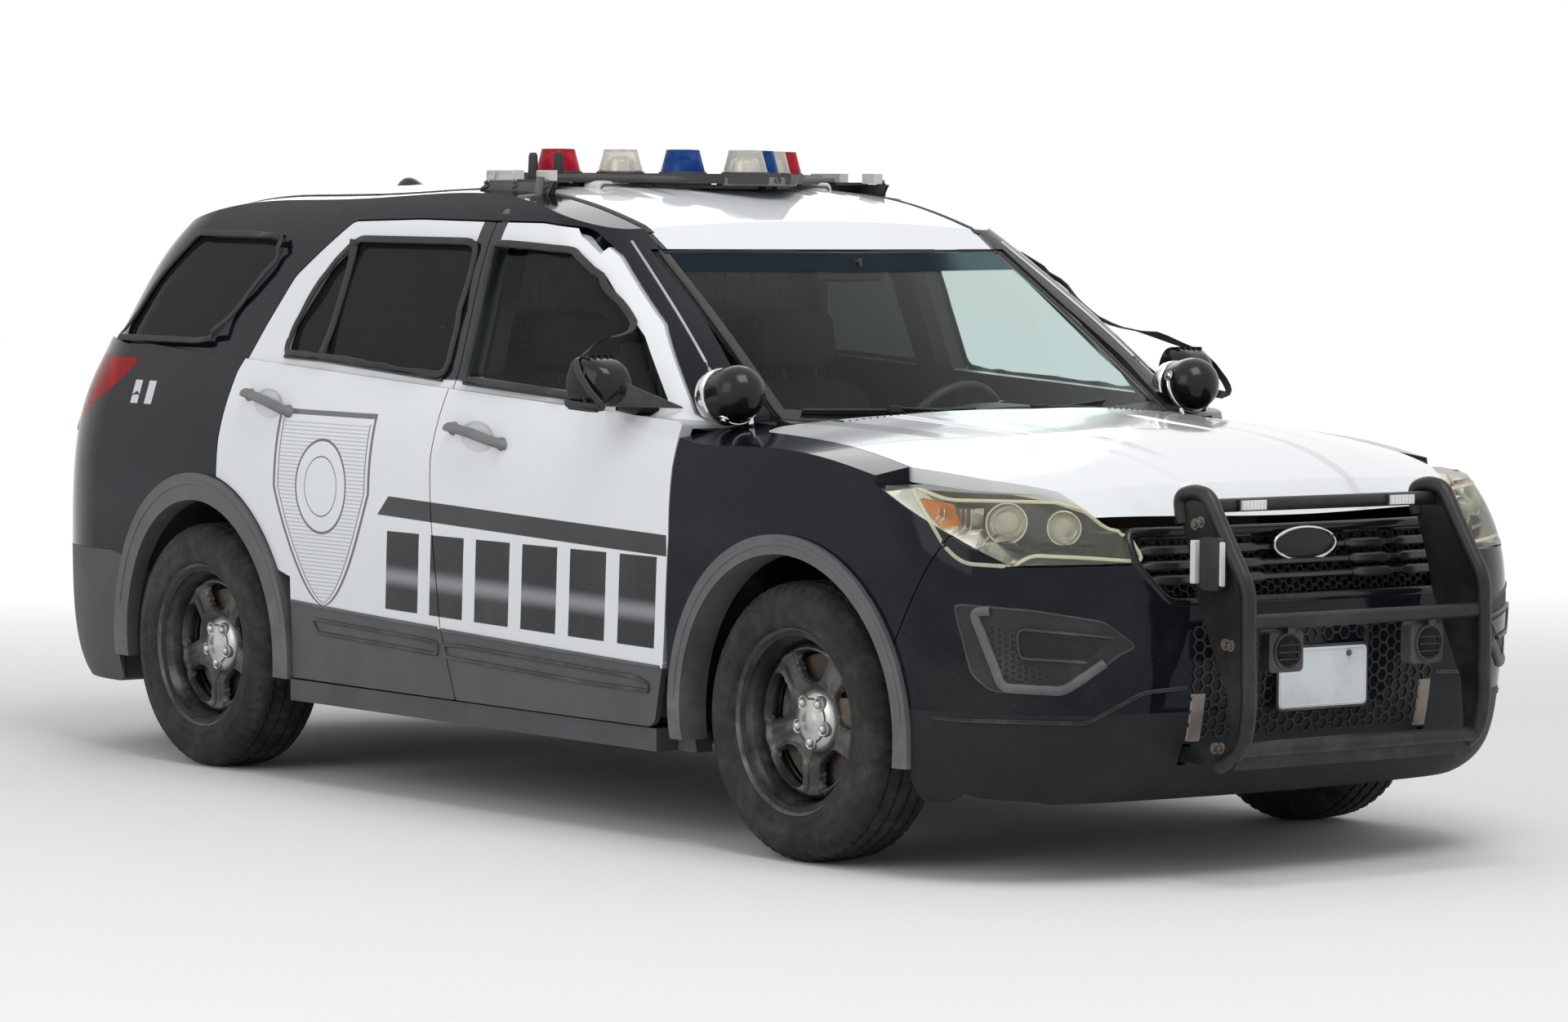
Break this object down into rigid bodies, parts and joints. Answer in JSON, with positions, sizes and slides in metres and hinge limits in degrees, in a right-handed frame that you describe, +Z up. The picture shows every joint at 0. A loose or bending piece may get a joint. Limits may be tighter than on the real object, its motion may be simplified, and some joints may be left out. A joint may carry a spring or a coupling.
{
  "type": "police patrol suv",
  "caption": "Five-door patrol SUV in dark and white livery with push bumper, roof light bar of coloured domes, spotlights, opening doors, hood and liftgate, and steered wheels.",
  "frame": {"origin": "middle of the overall box on the ground", "axes": "+X forward, +Y to the vehicle's left, +Z up"},
  "size_m": [5.2619, 2.2672, 1.8442],
  "materials": {
    "bare_metal": "cast and forged metal",
    "body_black": "glossy dark blue-black paint",
    "body_white": "glossy white paint",
    "cladding_grey": "grained grey plastic",
    "dome_mix": "coloured lamp domes",
    "glass_clear": "clear greenish glass",
    "glass_dark": "dark tinted glass",
    "lamp_head": "hazed clear lamp lens",
    "lamp_red": "red lamp lens",
    "seat_cloth": "dark grey cloth",
    "steel_dark": "dark painted steel",
    "trim_black": "black plastic",
    "tyre_rubber": "black tyre rubber"
  },
  "bodies": {
    "vehicle": {"body_sides": "body_black", "tail_lamps": "lamp_red", "quarter_glass": "glass_dark", "front_fenders": "body_black", "headlamps": "lamp_head", "grille": "trim_black", "front_bumper": "body_black", "arch_flares": "cladding_grey", "cowl_panel": "trim_black", "roof_panel": "body_white", "windshield": "glass_clear", "rear_bumper": "body_black", "floor_pan": "steel_dark", "dashboard": "trim_black", "front_seats": "seat_cloth", "rear_bench": "seat_cloth", "partition": "steel_dark", "engine_block": "bare_metal", "driveline": "bare_metal", "exhaust": "bare_metal", "fuel_tank": "trim_black", "front_suspension": "bare_metal", "rear_suspension": "bare_metal", "push_bumper": "steel_dark", "light_bar": "trim_black", "light_domes": "dome_mix", "spotlights": "trim_black"},
    "door_front_right": {"door_front_right": "body_white", "glass_front_right": "glass_clear", "mirror_right": "trim_black"},
    "door_rear_right": {"door_rear_right": "body_white", "glass_rear_right": "glass_dark"},
    "knuckle_right": {"knuckle_right": "bare_metal"},
    "door_front_left": {"door_front_left": "body_white", "glass_front_left": "glass_clear", "mirror_left": "trim_black"},
    "door_rear_left": {"door_rear_left": "body_white", "glass_rear_left": "glass_dark"},
    "knuckle_left": {"knuckle_left": "bare_metal"},
    "hood": {"hood": "body_white"},
    "liftgate": {"liftgate": "body_black", "glass_liftgate": "glass_dark"},
    "steering_wheel": {"steering_wheel": "trim_black"},
    "wheel_front_right": {"tyre_front_right": "tyre_rubber", "rim_front_right": "steel_dark"},
    "wheel_front_left": {"tyre_front_left": "tyre_rubber", "rim_front_left": "steel_dark"},
    "wheel_rear_right": {"tyre_rear_right": "tyre_rubber", "rim_rear_right": "steel_dark"},
    "wheel_rear_left": {"tyre_rear_left": "tyre_rubber", "rim_rear_left": "steel_dark"}
  },
  "joints": [
    {"name": "roll_front_right", "type": "hinge", "parent": "knuckle_right", "child": "wheel_front_right", "pos_m": [1.466, -0.851, 0.3635], "axis": [0, 1, 0], "continuous": true},
    {"name": "roll_front_left", "type": "hinge", "parent": "knuckle_left", "child": "wheel_front_left", "pos_m": [1.466, 0.851, 0.3635], "axis": [0, 1, 0], "continuous": true},
    {"name": "roll_rear_right", "type": "hinge", "parent": "vehicle", "child": "wheel_rear_right", "pos_m": [-1.399, -0.851, 0.3635], "axis": [0, 1, 0], "continuous": true},
    {"name": "roll_rear_left", "type": "hinge", "parent": "vehicle", "child": "wheel_rear_left", "pos_m": [-1.399, 0.851, 0.3635], "axis": [0, 1, 0], "continuous": true},
    {"name": "steer_left", "type": "hinge", "parent": "vehicle", "child": "knuckle_left", "pos_m": [1.466, 0.74865, 0.3635], "axis": [0, -0.2524, 0.9676], "range_deg": [-32, 32]},
    {"name": "steer_right", "type": "hinge", "parent": "vehicle", "child": "knuckle_right", "pos_m": [1.466, -0.74865, 0.3635], "axis": [0, 0.2524, 0.9676], "range_deg": [-32, 32]},
    {"name": "steering_column", "type": "hinge", "parent": "vehicle", "child": "steering_wheel", "pos_m": [0.456, 0.4, 1.015], "axis": [-0.9135, 0, 0.4067], "range_deg": [-480, 480]},
    {"name": "door_front_right_hinge", "type": "hinge", "parent": "vehicle", "child": "door_front_right", "pos_m": [0.921, -0.992, 0.7], "axis": [0, 0, -1], "range_deg": [-68, 0]},
    {"name": "door_rear_right_hinge", "type": "hinge", "parent": "vehicle", "child": "door_rear_right", "pos_m": [-0.152, -0.992, 0.7], "axis": [0, 0, -1], "range_deg": [-70, 0]},
    {"name": "door_front_left_hinge", "type": "hinge", "parent": "vehicle", "child": "door_front_left", "pos_m": [0.921, 0.992, 0.7], "axis": [0, 0, 1], "range_deg": [-68, 0]},
    {"name": "door_rear_left_hinge", "type": "hinge", "parent": "vehicle", "child": "door_rear_left", "pos_m": [-0.152, 0.992, 0.7], "axis": [0, 0, 1], "range_deg": [-70, 0]},
    {"name": "hood_hinge", "type": "hinge", "parent": "vehicle", "child": "hood", "pos_m": [1.091, 0, 1.118], "axis": [0, -1, 0], "range_deg": [0, 52]},
    {"name": "liftgate_hinge", "type": "hinge", "parent": "vehicle", "child": "liftgate", "pos_m": [-1.864, 0, 1.688], "axis": [0, 1, 0], "range_deg": [0, 82]}
  ],
  "couplings": [
    {"joint": "steer_right", "follows": "steer_left", "ratio": 1},
    {"joint": "steering_column", "follows": "steer_left", "ratio": 15}
  ]
}
